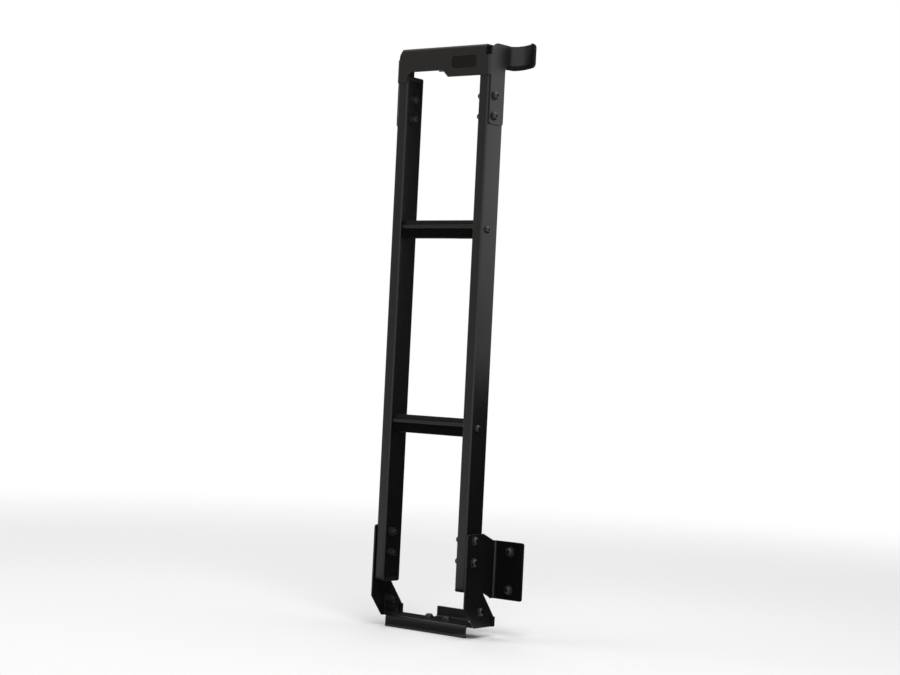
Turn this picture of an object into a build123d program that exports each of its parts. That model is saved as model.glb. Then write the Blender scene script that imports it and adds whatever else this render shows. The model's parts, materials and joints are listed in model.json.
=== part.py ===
from build123d import *
import os

# Ladder for the rear door of a small off-road vehicle: two hollow rails, two ribbed rungs, a folded
# bracket that hooks over the door's top edge, a bracket that bolts to the door's hinge, and two feet
# joined by a folded plate and a hook that grips the door's bottom edge.
#
# Everything is drawn in the ladder's own axes and moved to the part's origin at the end:
# x runs across the ladder, y from the climbing side towards the vehicle, z up the rails.
# y is zero on the rails' rear faces and z is zero under the feet.

# Sizes, in millimetres

# Rails and their end caps
CLEAR_WIDTH = 156.0
RAIL_WIDTH = 20.0
RAIL_DEPTH = 47.0
RAIL_WALL = 2.5
RAIL_CORNER = 3.5
RAIL_INNER_CORNER = 1.0
RAIL_BASE = 70.0
RAIL_LENGTH = 872.0
CAP_HEAD = 8.0
CAP_ROUND = 6.5
CAP_PLUG = 14.0

# Rungs: a ribbed tread plate over a box with a screw port along its axis
LOWER_RUNG_RISE = 271.0
RUNG_SPACING = 340.0
TREAD_DEPTH = 25.0
TREAD_THICKNESS = 7.0
TREAD_DROP = 1.0
TREAD_ROUND = 2.0
GRIP_DECK = 4.0
GRIP_RIBS = 4
GRIP_RIB_PITCH = 5.0
GRIP_RIB_HEIGHT = 3.5
GRIP_RIB_BASE = 3.6
GRIP_RIB_TIP = 1.8
BOX_DEPTH = 21.0
BOX_BASE = 11.0
BOX_DROP = 15.5
BOX_WALL = 2.0
PORT_BOSS = 12.0
PORT_BORE = 6.8

# Bolts that hold the ladder together
BOLT_HOLE = 9.0
BOLT_SETBACK = 17.0
UPPER_BOLT_DROP = 32.0
UPPER_BOLT_SPACING = 35.0
LOWER_BOLT_RISE = 43.0
LOWER_BOLT_SPACING = 37.0

# Mounting plane, and the edge of the door that the two hooks take
STANDOFF = 84.0
EDGE_THICKNESS = 20.0

# Top bracket, folded from one sheet
TOP_SHEET = 3.0
TOP_BEND = 3.0
TOP_RISE = 55.0
TOP_WEB_DEPTH = 41.5
TOP_LEG_LENGTH = 17.5
TOP_LEG_ROUND = 12.0
TOP_STEP_DEPTH = 12.0
TOP_STEP_MARGIN = 7.5
TOP_NOTCH_WIDTH = 10.0
TOP_NOTCH_HEIGHT = 19.0
HOOK_DROP = 24.0
HOOK_PAD = 3.0
FLANGE_RISE = 3.0
FLANGE_MARGIN = 14.0
FLANGE_REAR_ROUND = 19.0
FLANGE_ROUND = 5.0
FLANGE_INSET = 3.5
ARM_WIDTH = 39.0
ARM_TIP = 8.5
ARM_RISE = 7.0
ARM_FILLET = 7.0
ARM_END_ROUND = 6.0
ARM_PAD = 4.0
ARM_PAD_HEIGHT = 28.0
ARM_EDGE_WALL = 2.0
ARM_EDGE_GRIP = 5.0

# Blank name plate in the top bracket's slot
PLATE_LENGTH = 53.0
PLATE_HEIGHT = 21.0
PLATE_ROUND = 6.0
PLATE_INSET = 5.5
PLATE_DROP = 29.0
PLATE_RECESS = 0.8
PLATE_RIM = 3.0
PLATE_RIM_THICKNESS = 1.2

# Hinge bracket
HINGE_SHEET = 3.0
HINGE_BEND = 4.0
HINGE_WIDTH = 56.0
HINGE_HEIGHT = 100.0
HINGE_STEP = 12.5
HINGE_LEG_HEIGHT = 99.0
HINGE_ROUND = 4.0
HINGE_BOLT_SPACING = 65.0
HINGE_BOLT_HOLE = 9.0

# Feet
FOOT_SHEET = 3.0
FOOT_MARGIN = 11.0
FOOT_OVERHANG = 3.0
FOOT_FRONT_OVERHANG = 1.0
FOOT_KNEE_REAR = 36.0
FOOT_KNEE_FRONT = 60.0
TOE_REAR = 27.0
TOE_HEIGHT = 18.0
FOOT_ROUND = 5.0
TOE_BOLT_HEIGHT = 28.0
TRIM_WALL = 2.0
TRIM_GRIP = 6.0

# Bottom plate between the feet
BASE_SHEET = 3.0
BASE_BEND = 3.0
EAR_HEIGHT = 43.0
EAR_INSET = 3.0
EAR_DEPTH = 30.0
EAR_ROUND = 10.0
EAR_BOLT_INSET = 12.0
BASE_INSET = 8.0
LIP_OVERHANG = 3.0
LIP_DROP = 18.0
LIP_INSET = 10.0

# Clamp hook under the bottom plate
CLAMP_SHEET = 4.0
CLAMP_BEND = 4.0
CLAMP_WIDTH = 70.0
CLAMP_RISE = 18.0
CLAMP_BOLT_SPACING = 40.0
CLAMP_BOLT_INSET = 12.0
CLAMP_SLOT = 20.0
CLAMP_MARGIN = 8.0

# Clearance of pieces that fit into each other, and straight sheet left beside a bend
FIT_GAP = 0.3
BEND_MARGIN = 1.0

# Places that follow from the sizes

RAIL_X = (CLEAR_WIDTH + RAIL_WIDTH) / 2
RAIL_OUTER = CLEAR_WIDTH / 2 + RAIL_WIDTH
RAIL_TOP = RAIL_BASE + RAIL_LENGTH
LOWER_RUNG_HEIGHT = RAIL_BASE + LOWER_RUNG_RISE
RUNG_HEIGHTS = (LOWER_RUNG_HEIGHT, LOWER_RUNG_HEIGHT + RUNG_SPACING)
UPPER_BOLT_HEIGHTS = (RAIL_TOP - UPPER_BOLT_DROP - UPPER_BOLT_SPACING, RAIL_TOP - UPPER_BOLT_DROP)
LOWER_BOLT_HEIGHTS = (RAIL_BASE + LOWER_BOLT_RISE, RAIL_BASE + LOWER_BOLT_RISE + LOWER_BOLT_SPACING)

CROWN = RAIL_TOP + TOP_RISE
TOP_WEB_BASE = CROWN - TOP_WEB_DEPTH
FLANGE_TOP = CROWN + FLANGE_RISE
FLANGE_BASE = UPPER_BOLT_HEIGHTS[0] - FLANGE_MARGIN
FLANGE_FRONT = RAIL_DEPTH - FLANGE_INSET
PLATE_X = CLEAR_WIDTH / 2 - PLATE_INSET - PLATE_LENGTH / 2
PLATE_Z = CROWN - PLATE_DROP
HOOK_HALF = RAIL_OUTER + TOP_SHEET - TOP_NOTCH_WIDTH
ARM_ROOT = FLANGE_FRONT + ARM_FILLET + BEND_MARGIN
ARM_FACE = STANDOFF - ARM_PAD
ARM_CURVE = ARM_FACE - TOP_SHEET - ARM_ROOT
ARM_END = RAIL_OUTER + TOP_SHEET + ARM_CURVE + ARM_TIP

LEFT_FOOT_INNER = -RAIL_OUTER
RIGHT_FOOT_INNER = RAIL_OUTER + HINGE_SHEET
TOE_FRONT = STANDOFF - TRIM_WALL
TOE_BOLT_Y = TOE_REAR + EAR_INSET + EAR_BOLT_INSET
FOOT_TOP = LOWER_BOLT_HEIGHTS[1] + FOOT_MARGIN
FOOT_FRONT = RAIL_DEPTH + FOOT_FRONT_OVERHANG
BASE_FRONT = TOE_FRONT - BASE_INSET
CLAMP_BOLT_Y = BASE_FRONT - CLAMP_BOLT_INSET
HINGE_TOP = FOOT_TOP - HINGE_STEP
HINGE_X = RAIL_OUTER + HINGE_SHEET + HINGE_BEND + HINGE_WIDTH / 2
HINGE_Z = HINGE_TOP - HINGE_HEIGHT / 2
ORIGIN = Vector(HINGE_X, STANDOFF, HINGE_Z)


def bar_x(x_low, x_high, y, z, diameter):
    """Round bar along x, used to bore cross holes."""
    bar = Rot(0, 90, 0) * Cylinder(diameter / 2, x_high - x_low)
    return Pos((x_low + x_high) / 2, y, z) * bar


def plate_x(x_low, thickness, outline):
    """Flat plate across x from an outline drawn in y and z."""
    return Pos(x_low, 0, 0) * extrude(Plane.YZ * outline, thickness)


def plate_y(y_low, thickness, outline):
    """Flat plate across y from an outline drawn in x and z."""
    return Pos(0, y_low, 0) * extrude(Plane.XZ * outline, -thickness)


def sheet(points, thickness, bend):
    """Section of a bent sheet: its centre line with rounded bends, given a thickness."""
    return trace(FilletPolyline(*points, radius=bend + thickness / 2), thickness)


def rail(side):
    """Hollow rail with the cross holes for its brackets and rungs."""
    outside = RectangleRounded(RAIL_WIDTH, RAIL_DEPTH, RAIL_CORNER)
    inside = RectangleRounded(
        RAIL_WIDTH - 2 * RAIL_WALL, RAIL_DEPTH - 2 * RAIL_WALL, RAIL_INNER_CORNER
    )
    tube = extrude(outside - inside, RAIL_LENGTH)
    solid = Pos(side * RAIL_X, RAIL_DEPTH / 2, RAIL_BASE) * tube
    x_low = side * RAIL_X - RAIL_WIDTH
    x_high = side * RAIL_X + RAIL_WIDTH
    for height in UPPER_BOLT_HEIGHTS + LOWER_BOLT_HEIGHTS + RUNG_HEIGHTS:
        solid -= bar_x(x_low, x_high, BOLT_SETBACK, height, BOLT_HOLE)
    return solid


def rail_cap(side, upper):
    """End cap with a head that is rounded seen from the side, and a plug inside the rail."""
    outline = extrude(RectangleRounded(RAIL_WIDTH, RAIL_DEPTH, RAIL_CORNER), CAP_HEAD)
    profile = Rectangle(RAIL_DEPTH, CAP_HEAD, align=(Align.CENTER, Align.MIN))
    crown_round = min(CAP_ROUND, CAP_HEAD - FIT_GAP)
    profile = fillet(profile.vertices().group_by(Axis.Y)[-1], crown_round)
    dome = plate_x(-RAIL_WIDTH / 2, RAIL_WIDTH, profile)
    inset = 2 * (RAIL_WALL + FIT_GAP)
    plug = RectangleRounded(RAIL_WIDTH - inset, RAIL_DEPTH - inset, RAIL_INNER_CORNER)
    cap = (outline & dome) + extrude(plug, -CAP_PLUG)
    if upper:
        return Pos(side * RAIL_X, RAIL_DEPTH / 2, RAIL_TOP) * cap
    return Pos(side * RAIL_X, RAIL_DEPTH / 2, RAIL_BASE) * Rot(180, 0, 0) * cap


def tapered(top_width, top, base_width, base):
    """Section with a level top and base of different widths."""
    return make_face(
        Polyline(
            (-base_width / 2, base),
            (base_width / 2, base),
            (top_width / 2, top),
            (-top_width / 2, top),
            close=True,
        )
    )


def rung(height):
    """Extruded rung: ribbed grip on a tread plate, over a tapered box with a screw port."""
    tread_top = TREAD_DROP + TREAD_THICKNESS
    tread = Pos(0, TREAD_DROP + TREAD_THICKNESS / 2) * RectangleRounded(
        TREAD_DEPTH, TREAD_THICKNESS, TREAD_ROUND
    )
    grip_depth = (GRIP_RIBS - 1) * GRIP_RIB_PITCH + GRIP_RIB_BASE
    section = tread + Pos(0, tread_top) * Rectangle(
        grip_depth, GRIP_DECK, align=(Align.CENTER, Align.MIN)
    )
    for place in GridLocations(GRIP_RIB_PITCH, 0, GRIP_RIBS, 1):
        rib = Polyline(
            (-GRIP_RIB_BASE / 2, 0),
            (GRIP_RIB_BASE / 2, 0),
            (GRIP_RIB_TIP / 2, GRIP_RIB_HEIGHT),
            (-GRIP_RIB_TIP / 2, GRIP_RIB_HEIGHT),
            close=True,
        )
        section += Pos(0, tread_top + GRIP_DECK) * place * make_face(rib)
    box_top = TREAD_DROP + TREAD_ROUND
    box = tapered(BOX_DEPTH, box_top, BOX_BASE, -BOX_DROP)
    hollow = tapered(
        BOX_DEPTH - 2 * BOX_WALL, TREAD_DROP, BOX_BASE - 2 * BOX_WALL, BOX_WALL - BOX_DROP
    )
    boss = Circle(PORT_BOSS / 2)
    section = section + box - (hollow - boss) - Circle(PORT_BORE / 2)
    return plate_x(-CLEAR_WIDTH / 2, CLEAR_WIDTH, Pos(BOLT_SETBACK, height) * section)


def top_plate_outline():
    """Rear view of the top bracket between its side bends, with the slot for the name plate."""
    edge = RAIL_OUTER + TOP_SHEET
    notch = CROWN - TOP_NOTCH_HEIGHT
    top = CROWN - TOP_SHEET - TOP_BEND
    leg_base = TOP_WEB_BASE - TOP_LEG_LENGTH
    step_base = TOP_WEB_BASE - TOP_STEP_DEPTH
    step_x = PLATE_X - PLATE_LENGTH / 2 - TOP_STEP_MARGIN
    outline = make_face(
        Polyline(
            (-edge, leg_base),
            (-CLEAR_WIDTH / 2, leg_base),
            (-CLEAR_WIDTH / 2, TOP_WEB_BASE),
            (step_x - TOP_STEP_DEPTH, TOP_WEB_BASE),
            (step_x, step_base),
            (edge, step_base),
            (edge, notch),
            (HOOK_HALF, notch),
            (HOOK_HALF, top),
            (-HOOK_HALF, top),
            (-HOOK_HALF, notch),
            (-edge, notch),
            close=True,
        )
    )
    inner_corner = outline.vertices().sort_by_distance((-CLEAR_WIDTH / 2, TOP_WEB_BASE))[0]
    outline = fillet(inner_corner, min(TOP_LEG_ROUND, TOP_LEG_LENGTH - FIT_GAP))
    return outline - Pos(PLATE_X, PLATE_Z) * RectangleRounded(PLATE_LENGTH, PLATE_HEIGHT, PLATE_ROUND)


def side_flange_outline(with_arm):
    """Side view of the flange on a rail, from the bend forward, with the root of the arm."""
    flange = Pos(TOP_BEND, FLANGE_BASE) * Rectangle(
        FLANGE_FRONT - TOP_BEND, FLANGE_TOP - FLANGE_BASE, align=(Align.MIN, Align.MIN)
    )
    if with_arm:
        arm_base = FLANGE_TOP - ARM_WIDTH
        flange += Pos(TOP_BEND, arm_base) * Rectangle(
            ARM_ROOT - TOP_BEND, ARM_WIDTH, align=(Align.MIN, Align.MIN)
        )
        corner = flange.vertices().sort_by_distance((FLANGE_FRONT, arm_base))[0]
        flange = fillet(corner, ARM_FILLET)
    else:
        corner = flange.vertices().sort_by_distance((FLANGE_FRONT, FLANGE_TOP))[0]
        flange = fillet(corner, FLANGE_ROUND)
    rear = flange.vertices().sort_by_distance((TOP_BEND, FLANGE_TOP))[0]
    flange = fillet(rear, FLANGE_REAR_ROUND)
    flange = fillet(flange.vertices().group_by(Axis.Y)[0], FLANGE_ROUND)
    for bolt_height in UPPER_BOLT_HEIGHTS:
        flange -= Pos(BOLT_SETBACK, bolt_height) * Circle(BOLT_HOLE / 2)
    return flange


def arm_lift(x):
    """Rise of the arm at a place along it, from nothing at the flange's face."""
    face = RAIL_OUTER + TOP_SHEET
    return ARM_RISE * (x - face) / (ARM_END - face)


def arm_strip(thickness, y_start, x_end):
    """Curved sheet of the arm before its outline is cut."""
    x_mid = RAIL_OUTER + TOP_SHEET / 2
    y_mid = ARM_FACE - TOP_SHEET / 2
    centre_line = FilletPolyline(
        (x_mid, y_start),
        (x_mid, y_mid),
        (x_end, y_mid),
        radius=ARM_CURVE + TOP_SHEET / 2,
    )
    low = FLANGE_TOP - 2 * ARM_WIDTH
    return Pos(0, 0, low) * extrude(trace(centre_line, thickness), 3 * ARM_WIDTH)


def arm_outline(grow):
    """Rear view of the arm, grown on all its free sides."""
    face = RAIL_OUTER + TOP_SHEET
    base = FLANGE_TOP - ARM_WIDTH - grow
    top = FLANGE_TOP + grow
    end = ARM_END + grow
    outline = make_face(
        Polyline(
            (RAIL_OUTER - grow, base),
            (face, base),
            (end, base + ARM_RISE),
            (end, top + ARM_RISE),
            (face, top),
            (RAIL_OUTER - grow, top),
            close=True,
        )
    )
    return fillet(outline.vertices().group_by(Axis.X)[-1], ARM_END_ROUND + grow)


def arm():
    """Curved arm that runs on from the right flange, turns out along the door and rises to its tip."""
    strip = arm_strip(TOP_SHEET, ARM_ROOT - TOP_SHEET, ARM_END)
    return strip & plate_y(0, STANDOFF, arm_outline(0))


def top_bracket():
    """Folded top bracket: rear plate, two side flanges, the curved arm and the hook."""
    edge = RAIL_OUTER + TOP_SHEET / 2
    bend_end = TOP_BEND + BEND_MARGIN
    bent = sheet(
        [(-edge, bend_end), (-edge, -TOP_SHEET / 2), (edge, -TOP_SHEET / 2), (edge, bend_end)],
        TOP_SHEET,
        TOP_BEND,
    )
    bent = Pos(0, 0, FLANGE_BASE) * extrude(bent, FLANGE_TOP - FLANGE_BASE)
    bracket = bent & plate_y(-TOP_SHEET, TOP_SHEET + TOP_BEND, top_plate_outline())
    bracket += plate_x(-RAIL_OUTER - TOP_SHEET, TOP_SHEET, side_flange_outline(False))
    bracket += plate_x(RAIL_OUTER, TOP_SHEET, side_flange_outline(True))
    bracket += arm()
    hook_y = STANDOFF + EDGE_THICKNESS + TOP_SHEET / 2
    crown_mid = CROWN - TOP_SHEET / 2
    hook = sheet(
        [
            (-TOP_SHEET / 2, CROWN - 2 * TOP_SHEET - TOP_BEND),
            (-TOP_SHEET / 2, crown_mid),
            (hook_y, crown_mid),
            (hook_y, CROWN - HOOK_DROP),
        ],
        TOP_SHEET,
        TOP_BEND,
    )
    return bracket + plate_x(-HOOK_HALF, 2 * HOOK_HALF, hook)


def hook_pad():
    """Rubber strip under the hook, where the door's top edge sits."""
    depth = EDGE_THICKNESS - TOP_BEND
    strip = Box(2 * HOOK_HALF, depth, HOOK_PAD, align=(Align.CENTER, Align.MIN, Align.MAX))
    return Pos(0, STANDOFF, CROWN - TOP_SHEET) * strip


def arm_pad():
    """Rubber moulding on the arm: an edging along its lower edge and its end, and a pad against the door."""
    left = RAIL_OUTER - 2 * ARM_EDGE_WALL
    face = RAIL_OUTER + TOP_SHEET
    base = FLANGE_TOP - ARM_WIDTH + ARM_EDGE_GRIP
    end = ARM_END - ARM_EDGE_GRIP
    top = FLANGE_TOP + ARM_WIDTH
    window = make_face(
        Polyline((left, base), (face, base), (end, base + arm_lift(end)), (end, top), (left, top), close=True)
    )
    wrap = arm_strip(TOP_SHEET + 2 * ARM_EDGE_WALL, ARM_ROOT - BEND_MARGIN, ARM_END + ARM_EDGE_WALL)
    edging = wrap & plate_y(0, STANDOFF, arm_outline(ARM_EDGE_WALL) - window)
    block = Box(ARM_TIP, ARM_PAD, ARM_PAD_HEIGHT, align=(Align.CENTER, Align.MAX, Align.CENTER))
    x_mid = ARM_END - ARM_TIP / 2
    edging += Pos(x_mid, STANDOFF, FLANGE_TOP - ARM_WIDTH / 2 + arm_lift(x_mid)) * block
    return edging - arm()


def name_plate():
    """Blank plate in the top bracket's slot, held by a rim behind the sheet."""
    face = RectangleRounded(
        PLATE_LENGTH - 2 * FIT_GAP, PLATE_HEIGHT - 2 * FIT_GAP, PLATE_ROUND - FIT_GAP
    )
    rim = RectangleRounded(
        PLATE_LENGTH + 2 * PLATE_RIM, PLATE_HEIGHT + 2 * PLATE_RIM, PLATE_ROUND + PLATE_RIM
    )
    place = Pos(PLATE_X, PLATE_Z)
    body = plate_y(PLATE_RECESS - TOP_SHEET, TOP_SHEET - PLATE_RECESS, place * face)
    return body + plate_y(0, PLATE_RIM_THICKNESS, place * rim)


def hinge_bracket():
    """Folded bracket from the right rail's side to the face that bolts to the door's hinge."""
    web_front = STANDOFF - HINGE_SHEET - HINGE_BEND
    leg_base = FOOT_TOP - HINGE_LEG_HEIGHT
    hinge_base = HINGE_TOP - HINGE_HEIGHT
    web = make_face(
        Polyline(
            (0, leg_base),
            (RAIL_DEPTH, leg_base),
            (web_front, hinge_base),
            (web_front, HINGE_TOP),
            (RAIL_DEPTH, FOOT_TOP),
            (0, FOOT_TOP),
            close=True,
        )
    )
    web = fillet(web.vertices().group_by(Axis.X)[0], HINGE_ROUND)
    for bolt_height in LOWER_BOLT_HEIGHTS:
        web -= Pos(BOLT_SETBACK, bolt_height) * Circle(BOLT_HOLE / 2)
    bracket = plate_x(RAIL_OUTER, HINGE_SHEET, web)
    x_mid = RAIL_OUTER + HINGE_SHEET / 2
    y_mid = STANDOFF - HINGE_SHEET / 2
    x_end = HINGE_X + HINGE_WIDTH / 2
    y_start = web_front - HINGE_SHEET
    fold = sheet([(x_mid, y_start), (x_mid, y_mid), (x_end, y_mid)], HINGE_SHEET, HINGE_BEND)
    leg = Pos(0, 0, hinge_base) * extrude(fold, HINGE_HEIGHT)
    leg = fillet(leg.faces().sort_by(Axis.X)[-1].edges().filter_by(Axis.Y), HINGE_ROUND)
    for side in (-1, 1):
        bolt = Rot(90, 0, 0) * Cylinder(HINGE_BOLT_HOLE / 2, 4 * HINGE_SHEET)
        leg -= Pos(HINGE_X, STANDOFF, HINGE_Z + side * HINGE_BOLT_SPACING / 2) * bolt
    return bracket + leg


def foot(x_low):
    """Foot plate on a rail's outer face, stepping forward to a toe that meets the door."""
    outline = make_face(
        Polyline(
            (-FOOT_OVERHANG, FOOT_TOP),
            (-FOOT_OVERHANG, FOOT_KNEE_REAR),
            (TOE_REAR, 0),
            (TOE_FRONT, 0),
            (TOE_FRONT, TOE_HEIGHT),
            (FOOT_FRONT, FOOT_KNEE_FRONT),
            (FOOT_FRONT, FOOT_TOP),
            close=True,
        )
    )
    toe = [(TOE_FRONT, 0), (TOE_FRONT, TOE_HEIGHT)]
    square = [outline.vertices().sort_by_distance(point)[0] for point in toe]
    rounded = [corner for corner in outline.vertices() if corner not in square]
    outline = fillet(rounded, FOOT_ROUND)
    for bolt_height in LOWER_BOLT_HEIGHTS:
        outline -= Pos(BOLT_SETBACK, bolt_height) * Circle(BOLT_HOLE / 2)
    outline -= Pos(TOE_BOLT_Y, TOE_BOLT_HEIGHT) * Circle(BOLT_HOLE / 2)
    return plate_x(x_low, FOOT_SHEET, outline)


def foot_trim(x_low):
    """Rubber channel pressed over the toe's front edge."""
    width = FOOT_SHEET + 2 * (TRIM_WALL + FIT_GAP)
    length = TRIM_GRIP + TRIM_WALL
    height = TOE_HEIGHT - 1
    block = Box(width, length, height, align=(Align.CENTER, Align.MAX, Align.MIN))
    slot = Box(FOOT_SHEET + 2 * FIT_GAP, TRIM_GRIP, height, align=(Align.CENTER, Align.MAX, Align.MIN))
    channel = Pos(0, STANDOFF, 0) * block - Pos(0, STANDOFF - TRIM_WALL, 0) * slot
    return Pos(x_low + FOOT_SHEET / 2, 0, 0) * channel


def bottom_plate():
    """Folded plate between the feet, with ears that bolt to the toes and a lip at its rear."""
    left = LEFT_FOOT_INNER + BASE_SHEET / 2
    right = RIGHT_FOOT_INNER - BASE_SHEET / 2
    mid = BASE_SHEET / 2
    channel = sheet(
        [(left, EAR_HEIGHT), (left, mid), (right, mid), (right, EAR_HEIGHT)], BASE_SHEET, BASE_BEND
    )
    body = plate_y(TOE_REAR + EAR_INSET, EAR_DEPTH, channel)
    ear_tips = body.edges().filter_by(Axis.X).group_by(Axis.Z)[-1]
    body = fillet(ear_tips, EAR_ROUND)
    lip_y = TOE_REAR - LIP_OVERHANG + mid
    lip_half = RAIL_OUTER - LIP_INSET
    lip = sheet([(BASE_FRONT, mid), (lip_y, mid), (lip_y, -LIP_DROP)], BASE_SHEET, BASE_BEND)
    body += plate_x(-lip_half, 2 * lip_half, lip)
    body -= bar_x(LEFT_FOOT_INNER, RIGHT_FOOT_INNER, TOE_BOLT_Y, TOE_BOLT_HEIGHT, BOLT_HOLE)
    for place in GridLocations(CLAMP_BOLT_SPACING, 0, 2, 1):
        body -= Pos(0, CLAMP_BOLT_Y, 0) * place * Cylinder(BOLT_HOLE / 2, 4 * BASE_SHEET)
    return body


def clamp_hook():
    """Hook that slides under the bottom plate and turns up behind the door's bottom edge."""
    mid = -CLAMP_SHEET / 2
    hook_y = STANDOFF + EDGE_THICKNESS + CLAMP_SHEET / 2
    rear = CLAMP_BOLT_Y - CLAMP_SLOT / 2 - CLAMP_MARGIN
    section = sheet([(rear, mid), (hook_y, mid), (hook_y, CLAMP_RISE)], CLAMP_SHEET, CLAMP_BEND)
    hook = plate_x(-CLAMP_WIDTH / 2, CLAMP_WIDTH, section)
    slot = extrude(SlotOverall(CLAMP_SLOT, BOLT_HOLE, rotation=90), 4 * CLAMP_SHEET, both=True)
    for place in GridLocations(CLAMP_BOLT_SPACING, 0, 2, 1):
        hook -= Pos(0, CLAMP_BOLT_Y, 0) * place * slot
    return hook


PARTS = {
    "left_rail": rail(-1),
    "right_rail": rail(1),
    "left_rail_top_cap": rail_cap(-1, True),
    "left_rail_bottom_cap": rail_cap(-1, False),
    "right_rail_top_cap": rail_cap(1, True),
    "right_rail_bottom_cap": rail_cap(1, False),
    "lower_rung": rung(RUNG_HEIGHTS[0]),
    "upper_rung": rung(RUNG_HEIGHTS[1]),
    "top_bracket": top_bracket(),
    "hook_pad": hook_pad(),
    "arm_pad": arm_pad(),
    "name_plate": name_plate(),
    "hinge_bracket": hinge_bracket(),
    "left_foot": foot(LEFT_FOOT_INNER - FOOT_SHEET),
    "right_foot": foot(RIGHT_FOOT_INNER),
    "left_foot_trim": foot_trim(LEFT_FOOT_INNER - FOOT_SHEET),
    "right_foot_trim": foot_trim(RIGHT_FOOT_INNER),
    "bottom_plate": bottom_plate(),
    "clamp_hook": clamp_hook(),
}

os.makedirs("parts", exist_ok=True)
for node, solid in PARTS.items():
    export_step(Pos(-ORIGIN) * solid, f"parts/{node}.step")
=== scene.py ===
"""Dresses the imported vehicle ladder: rounded edges, fasteners, finishes, a pale studio and the camera."""
import json
import logging
import math
from dataclasses import dataclass, field
from enum import Enum
from typing import ClassVar, Sequence, Union

import bmesh
import bpy
from mathutils import Matrix, Vector


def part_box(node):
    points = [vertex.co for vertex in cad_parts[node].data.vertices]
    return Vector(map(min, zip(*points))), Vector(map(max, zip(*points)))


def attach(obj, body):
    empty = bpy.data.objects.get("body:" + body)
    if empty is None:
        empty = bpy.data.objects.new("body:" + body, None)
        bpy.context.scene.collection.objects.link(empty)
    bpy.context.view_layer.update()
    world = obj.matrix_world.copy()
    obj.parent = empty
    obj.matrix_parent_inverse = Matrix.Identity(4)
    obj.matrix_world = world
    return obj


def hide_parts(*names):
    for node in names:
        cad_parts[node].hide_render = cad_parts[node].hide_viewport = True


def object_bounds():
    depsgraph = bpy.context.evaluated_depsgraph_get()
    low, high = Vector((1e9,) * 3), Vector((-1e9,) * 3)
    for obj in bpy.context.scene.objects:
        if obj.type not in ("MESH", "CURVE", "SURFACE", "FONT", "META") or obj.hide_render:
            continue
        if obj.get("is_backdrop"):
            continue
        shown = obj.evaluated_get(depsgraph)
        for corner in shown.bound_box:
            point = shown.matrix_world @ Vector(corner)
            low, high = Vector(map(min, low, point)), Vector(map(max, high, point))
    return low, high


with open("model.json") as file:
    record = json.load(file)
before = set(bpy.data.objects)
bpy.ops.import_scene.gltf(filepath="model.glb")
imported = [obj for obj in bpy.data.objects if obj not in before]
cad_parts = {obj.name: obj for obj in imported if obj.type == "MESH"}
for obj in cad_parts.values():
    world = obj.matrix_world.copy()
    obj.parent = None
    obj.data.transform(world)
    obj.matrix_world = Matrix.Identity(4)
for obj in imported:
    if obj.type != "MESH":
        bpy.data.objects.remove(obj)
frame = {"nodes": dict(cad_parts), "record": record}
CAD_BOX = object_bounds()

LOG = logging.getLogger("ladder")
BODY = "root"
MM = 0.001
WELD = 0.002 * MM
HALF = 0.5
HEXAGON = 6
CORNER_PER_WIDTH = 1 / math.sqrt(3)
UP = Vector((0.0, 0.0, 1.0))
ALONG = Vector((1.0, 0.0, 0.0))
WHITE = (1.0, 1.0, 1.0, 1.0)
RAIL_SIDES = ("left", "right")
RUNG_LEVELS = ("lower", "upper")

# Sockets that go by index, because the node has others of the same name.
MIX_FACTOR, MIX_DARK, MIX_LIGHT, MIX_RESULT = 0, 6, 7, 2
RANDOM_LOW, RANDOM_HIGH, RANDOM_RESULT = 2, 3, 1

Number = Union[int, float]
Colour = tuple[float, float, float]
Settings = dict[str, object]
Inputs = dict[Union[str, int], object]


class Slot(Enum):
    """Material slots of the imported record."""

    RAIL = "rail_coat"
    BRACKET = "bracket_coat"
    CAP = "cap_plastic"
    PLATE = "blank_plate"
    RUBBER = "rubber"


class EdgeKind(Enum):
    """Which sharp edges of a piece are rounded over."""

    NONE = "none"
    ALL = "all"
    ALONG_X = "along_x"


class Share(Enum):
    """Which share of a node a piece stands for."""

    WHOLE = "whole"
    BELOW = "below"
    ABOVE = "above"


class Wire:
    """An output socket that takes part in arithmetic by adding Math nodes."""

    def __init__(self, board: "Board", socket: bpy.types.NodeSocket) -> None:
        """Keeps the socket and the board that its nodes are added to."""
        self.board = board
        self.socket = socket

    def __add__(self, other: "Operand") -> "Wire":
        """Sum of two values."""
        return self.board.maths("ADD", self, other)

    def __radd__(self, other: "Operand") -> "Wire":
        """Sum with a plain number in front."""
        return self.board.maths("ADD", other, self)

    def __sub__(self, other: "Operand") -> "Wire":
        """Difference of two values."""
        return self.board.maths("SUBTRACT", self, other)

    def __rsub__(self, other: "Operand") -> "Wire":
        """Difference with a plain number in front."""
        return self.board.maths("SUBTRACT", other, self)

    def __mul__(self, other: "Operand") -> "Wire":
        """Product of two values."""
        return self.board.maths("MULTIPLY", self, other)

    def __rmul__(self, other: "Operand") -> "Wire":
        """Product with a plain number in front."""
        return self.board.maths("MULTIPLY", other, self)


Operand = Union[Wire, Number]
Profile = Sequence[tuple[Operand, Operand]]


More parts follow.
